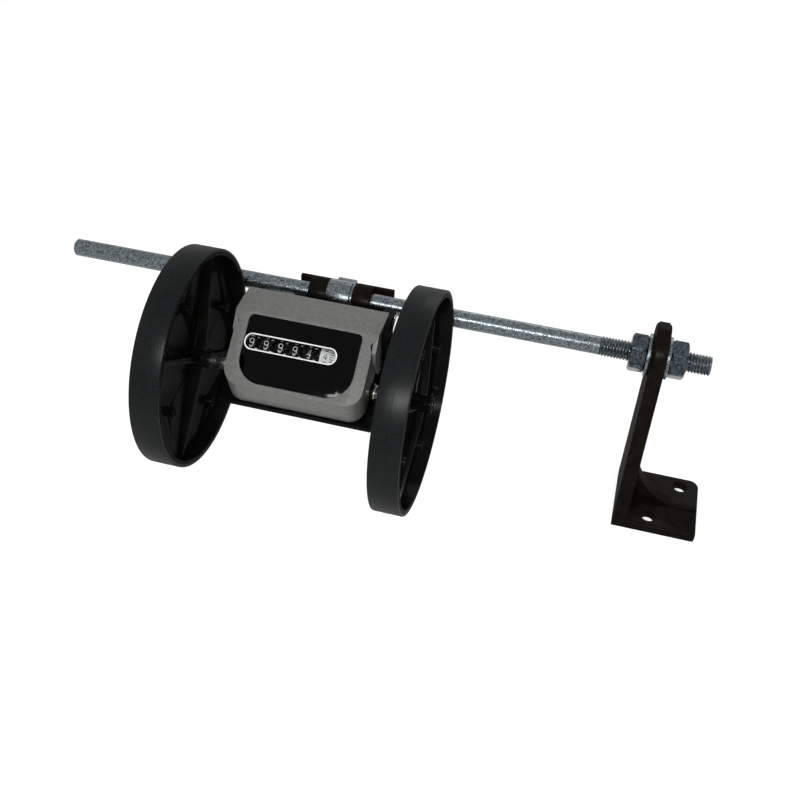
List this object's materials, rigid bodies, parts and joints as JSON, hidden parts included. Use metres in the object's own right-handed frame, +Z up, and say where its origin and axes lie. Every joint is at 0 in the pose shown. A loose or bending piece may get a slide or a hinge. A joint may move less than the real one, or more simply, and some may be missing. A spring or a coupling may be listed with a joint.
{
  "type": "cable length counter",
  "caption": "Cable length counter: measuring wheels on one shaft turn number drums in a small housing that hangs on a rod held by a cast foot.",
  "frame": {"origin": "middle of the underside of the foot, below the rod's axis", "axes": "+X along the rod towards the foot's outer side, +Y away from the reader of the window, +Z up"},
  "size_m": [0.3472, 0.1346, 0.1448],
  "materials": {
    "zinc_steel": "zinc plated, bright",
    "black_casting": "black enamel, brown tint",
    "grey_housing": "satin grey paint",
    "window_black": "polished black",
    "clear_lens": "clear",
    "base_black": "moulded black",
    "steel": "turned steel",
    "bronze": "sintered bronze",
    "drum_black": "moulded black",
    "drum_white": "moulded white",
    "pinion_nylon": "natural nylon",
    "wheel_black": "moulded black, glossy",
    "tread_grey": "satin charcoal"
  },
  "bodies": {
    "stand": {"support_rod": "zinc_steel", "foot_bracket": "black_casting", "inner_washer": "zinc_steel", "inner_nut": "zinc_steel", "outer_washer": "zinc_steel", "outer_nut": "zinc_steel"},
    "collar": {"rod_collar": "zinc_steel", "collar_ring": "zinc_steel", "collar_screw": "zinc_steel"},
    "counter": {"front_cover": "grey_housing", "window_panel": "window_black", "slot_lens": "clear_lens", "rear_base": "base_black", "saddle": "black_casting", "saddle_screws": "steel", "side_pin": "steel", "left_bush": "bronze", "right_bush": "bronze", "drum_shaft": "steel", "pinion_shaft": "steel"},
    "wheels": {"wheel_shaft": "steel", "left_wheel": "wheel_black", "right_wheel": "wheel_black", "left_tread": "tread_grey", "right_tread": "tread_grey", "drive_pinion": "steel", "shaft_washers": "steel", "left_spacer": "steel", "right_spacer": "steel"},
    "drum_tenths": {"drum_tenths": "drum_white", "tenths_gear": "pinion_nylon"},
    "drum_units": {"drum_units": "drum_black"},
    "drum_tens": {"drum_tens": "drum_black"},
    "drum_hundreds": {"drum_hundreds": "drum_black"},
    "drum_thousands": {"drum_thousands": "drum_black"},
    "drum_ten_thousands": {"drum_ten_thousands": "drum_black"},
    "carry_pinion_1": {"carry_pinion_1": "pinion_nylon"},
    "carry_pinion_2": {"carry_pinion_2": "pinion_nylon"},
    "carry_pinion_3": {"carry_pinion_3": "pinion_nylon"},
    "carry_pinion_4": {"carry_pinion_4": "pinion_nylon"},
    "carry_pinion_5": {"carry_pinion_5": "pinion_nylon"}
  },
  "joints": [
    {"name": "collar_slide", "type": "slide", "parent": "stand", "child": "collar", "axis": [1, 0, 0], "range_m": [-0.085, 0.06]},
    {"name": "counter_swing", "type": "hinge", "parent": "collar", "child": "counter", "pos_m": [-0.178, 0, 0.0985], "axis": [-1, 0, 0], "range_deg": [0, 90]},
    {"name": "wheel_spin", "type": "hinge", "parent": "counter", "child": "wheels", "pos_m": [-0.178, -0.0605, 0.0917], "axis": [1, 0, 0], "continuous": true},
    {"name": "drum_tenths_turn", "type": "hinge", "parent": "counter", "child": "drum_tenths", "pos_m": [-0.178, -0.05715, 0.10218], "axis": [1, 0, 0], "continuous": true},
    {"name": "drum_units_turn", "type": "hinge", "parent": "counter", "child": "drum_units", "pos_m": [-0.178, -0.05715, 0.10218], "axis": [1, 0, 0], "continuous": true},
    {"name": "drum_tens_turn", "type": "hinge", "parent": "counter", "child": "drum_tens", "pos_m": [-0.178, -0.05715, 0.10218], "axis": [1, 0, 0], "continuous": true},
    {"name": "drum_hundreds_turn", "type": "hinge", "parent": "counter", "child": "drum_hundreds", "pos_m": [-0.178, -0.05715, 0.10218], "axis": [1, 0, 0], "continuous": true},
    {"name": "drum_thousands_turn", "type": "hinge", "parent": "counter", "child": "drum_thousands", "pos_m": [-0.178, -0.05715, 0.10218], "axis": [1, 0, 0], "continuous": true},
    {"name": "drum_ten_thousands_turn", "type": "hinge", "parent": "counter", "child": "drum_ten_thousands", "pos_m": [-0.178, -0.05715, 0.10218], "axis": [1, 0, 0], "continuous": true},
    {"name": "carry_pinion_1_turn", "type": "hinge", "parent": "counter", "child": "carry_pinion_1", "pos_m": [-0.178, -0.04722, 0.1056], "axis": [1, 0, 0], "continuous": true},
    {"name": "carry_pinion_2_turn", "type": "hinge", "parent": "counter", "child": "carry_pinion_2", "pos_m": [-0.178, -0.04722, 0.1056], "axis": [1, 0, 0], "continuous": true},
    {"name": "carry_pinion_3_turn", "type": "hinge", "parent": "counter", "child": "carry_pinion_3", "pos_m": [-0.178, -0.04722, 0.1056], "axis": [1, 0, 0], "continuous": true},
    {"name": "carry_pinion_4_turn", "type": "hinge", "parent": "counter", "child": "carry_pinion_4", "pos_m": [-0.178, -0.04722, 0.1056], "axis": [1, 0, 0], "continuous": true},
    {"name": "carry_pinion_5_turn", "type": "hinge", "parent": "counter", "child": "carry_pinion_5", "pos_m": [-0.178, -0.04722, 0.1056], "axis": [1, 0, 0], "continuous": true}
  ],
  "couplings": [
    {"joint": "drum_tenths_turn", "follows": "wheel_spin", "ratio": -0.33333},
    {"joint": "drum_units_turn", "follows": "wheel_spin", "ratio": -0.033333},
    {"joint": "drum_tens_turn", "follows": "wheel_spin", "ratio": -0.0033333},
    {"joint": "drum_hundreds_turn", "follows": "wheel_spin", "ratio": -0.00033333},
    {"joint": "drum_thousands_turn", "follows": "wheel_spin", "ratio": -0.000033333},
    {"joint": "drum_ten_thousands_turn", "follows": "wheel_spin", "ratio": -0.000003333},
    {"joint": "carry_pinion_1_turn", "follows": "wheel_spin", "ratio": 0.000008333},
    {"joint": "carry_pinion_2_turn", "follows": "wheel_spin", "ratio": 0.000083333},
    {"joint": "carry_pinion_3_turn", "follows": "wheel_spin", "ratio": 0.00083333},
    {"joint": "carry_pinion_4_turn", "follows": "wheel_spin", "ratio": 0.0083333},
    {"joint": "carry_pinion_5_turn", "follows": "wheel_spin", "ratio": 0.083333}
  ]
}
